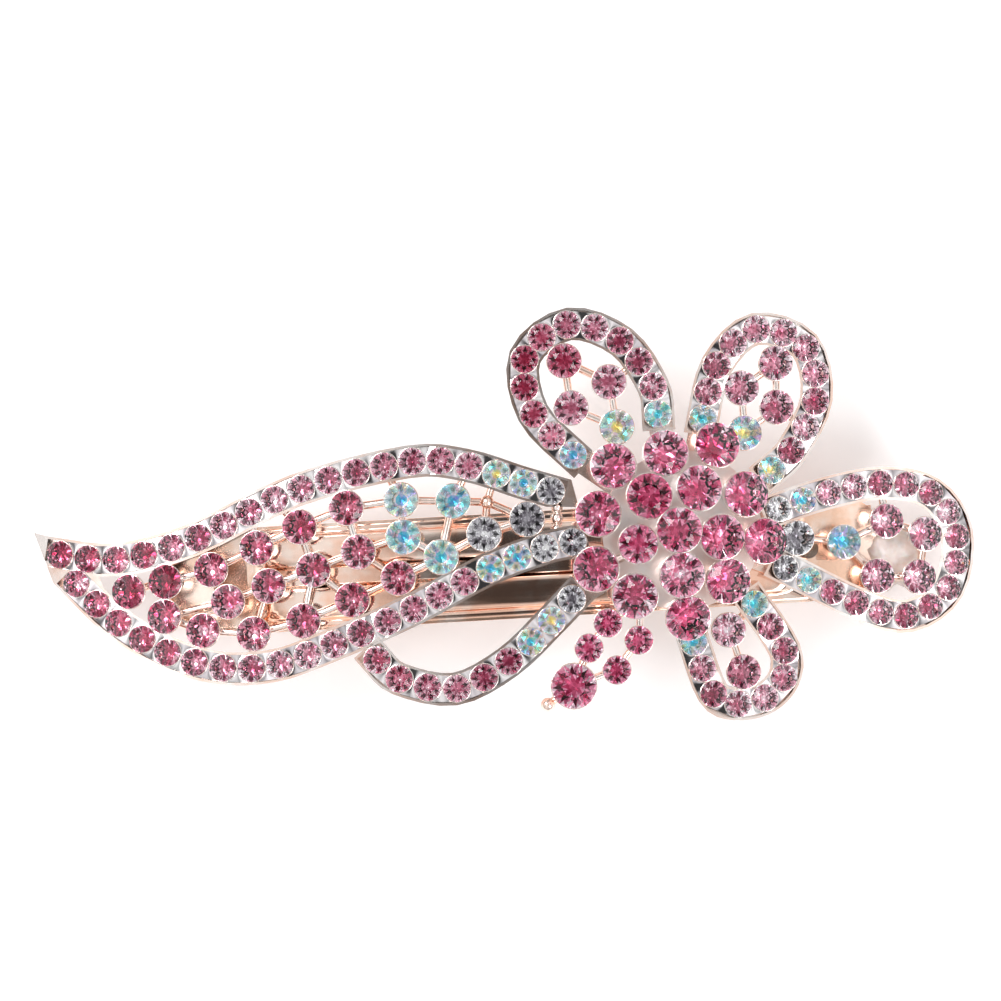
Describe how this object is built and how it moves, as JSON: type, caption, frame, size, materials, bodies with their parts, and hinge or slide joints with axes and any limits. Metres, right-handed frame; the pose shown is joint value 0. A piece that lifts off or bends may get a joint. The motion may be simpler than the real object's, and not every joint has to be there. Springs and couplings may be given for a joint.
{
  "type": "rhinestone hair clip",
  "caption": "Automatic hair barrette with a hinged clasp arm and squeeze catch, carrying a flower and leaf ornament set with round glass stones.",
  "frame": {"origin": "middle of the underside of the object's box, on the surface that the closed clasp rests on", "axes": "+X along the clip towards the flower, +Y across it towards the upper petals, +Z out of the hair, through the ornament's face"},
  "size_m": [0.0946, 0.0413, 0.0172],
  "materials": {
    "rose_gold": "polished rose gold plate",
    "clip_steel": "polished steel with a light rose plate",
    "solder": "dull solder",
    "glue": "uneven hard glue",
    "rose_glass": "faceted rose glass with a foiled back",
    "aurora_glass": "faceted clear glass with an iridescent coat",
    "clear_glass": "faceted clear glass with a foiled back"
  },
  "bodies": {
    "clip_base": {"base_plate": "clip_steel", "hinge_pin": "clip_steel", "tension_strip": "clip_steel", "strip_rivets": "clip_steel", "catch_bracket": "clip_steel", "catch_rivet": "clip_steel", "solder_pads": "solder", "glue_mass": "glue", "leaf_frame": "rose_gold", "loop_band": "rose_gold", "petal_upper_left": "rose_gold", "petal_upper_right": "rose_gold", "petal_right": "rose_gold", "petal_lower": "rose_gold", "flower_centre": "rose_gold", "sprig": "rose_gold", "leaf_band_rose": "rose_glass", "leaf_inner_rose": "rose_glass", "loop_rose": "rose_glass", "upper_left_rose": "rose_glass", "upper_right_rose": "rose_glass", "right_rose": "rose_glass", "lower_rose": "rose_glass", "centre_rose": "rose_glass", "sprig_rose": "rose_glass", "leaf_band_aurora": "aurora_glass", "leaf_inner_aurora": "aurora_glass", "loop_aurora": "aurora_glass", "upper_left_aurora": "aurora_glass", "upper_right_aurora": "aurora_glass", "right_aurora": "aurora_glass", "lower_aurora": "aurora_glass", "leaf_band_clear": "clear_glass", "leaf_inner_clear": "clear_glass", "loop_clear": "clear_glass", "right_clear": "clear_glass"},
    "arm": {"clasp_arm": "clip_steel"},
    "jaw_front": {"catch_jaw_front": "clip_steel"},
    "jaw_back": {"catch_jaw_back": "clip_steel"}
  },
  "joints": [
    {"name": "clasp_hinge", "type": "hinge", "parent": "clip_base", "child": "arm", "pos_m": [-0.03124, -0.00713, 0.0012], "axis": [-0.0576, 0.9983, 0], "range_deg": [0, 80]},
    {"name": "jaw_front_squeeze", "type": "hinge", "parent": "clip_base", "child": "jaw_front", "pos_m": [0.03276, -0.00534, 0.0052], "axis": [0.9983, 0.0576, 0], "range_deg": [0, 7], "stiffness_Nm_per_rad": 0.01},
    {"name": "jaw_back_squeeze", "type": "hinge", "parent": "clip_base", "child": "jaw_back", "pos_m": [0.03254, -0.00155, 0.0052], "axis": [0.9983, 0.0576, 0], "range_deg": [-7, 0], "stiffness_Nm_per_rad": 0.01}
  ],
  "couplings": [
    {"joint": "jaw_back_squeeze", "follows": "jaw_front_squeeze", "ratio": -1}
  ]
}
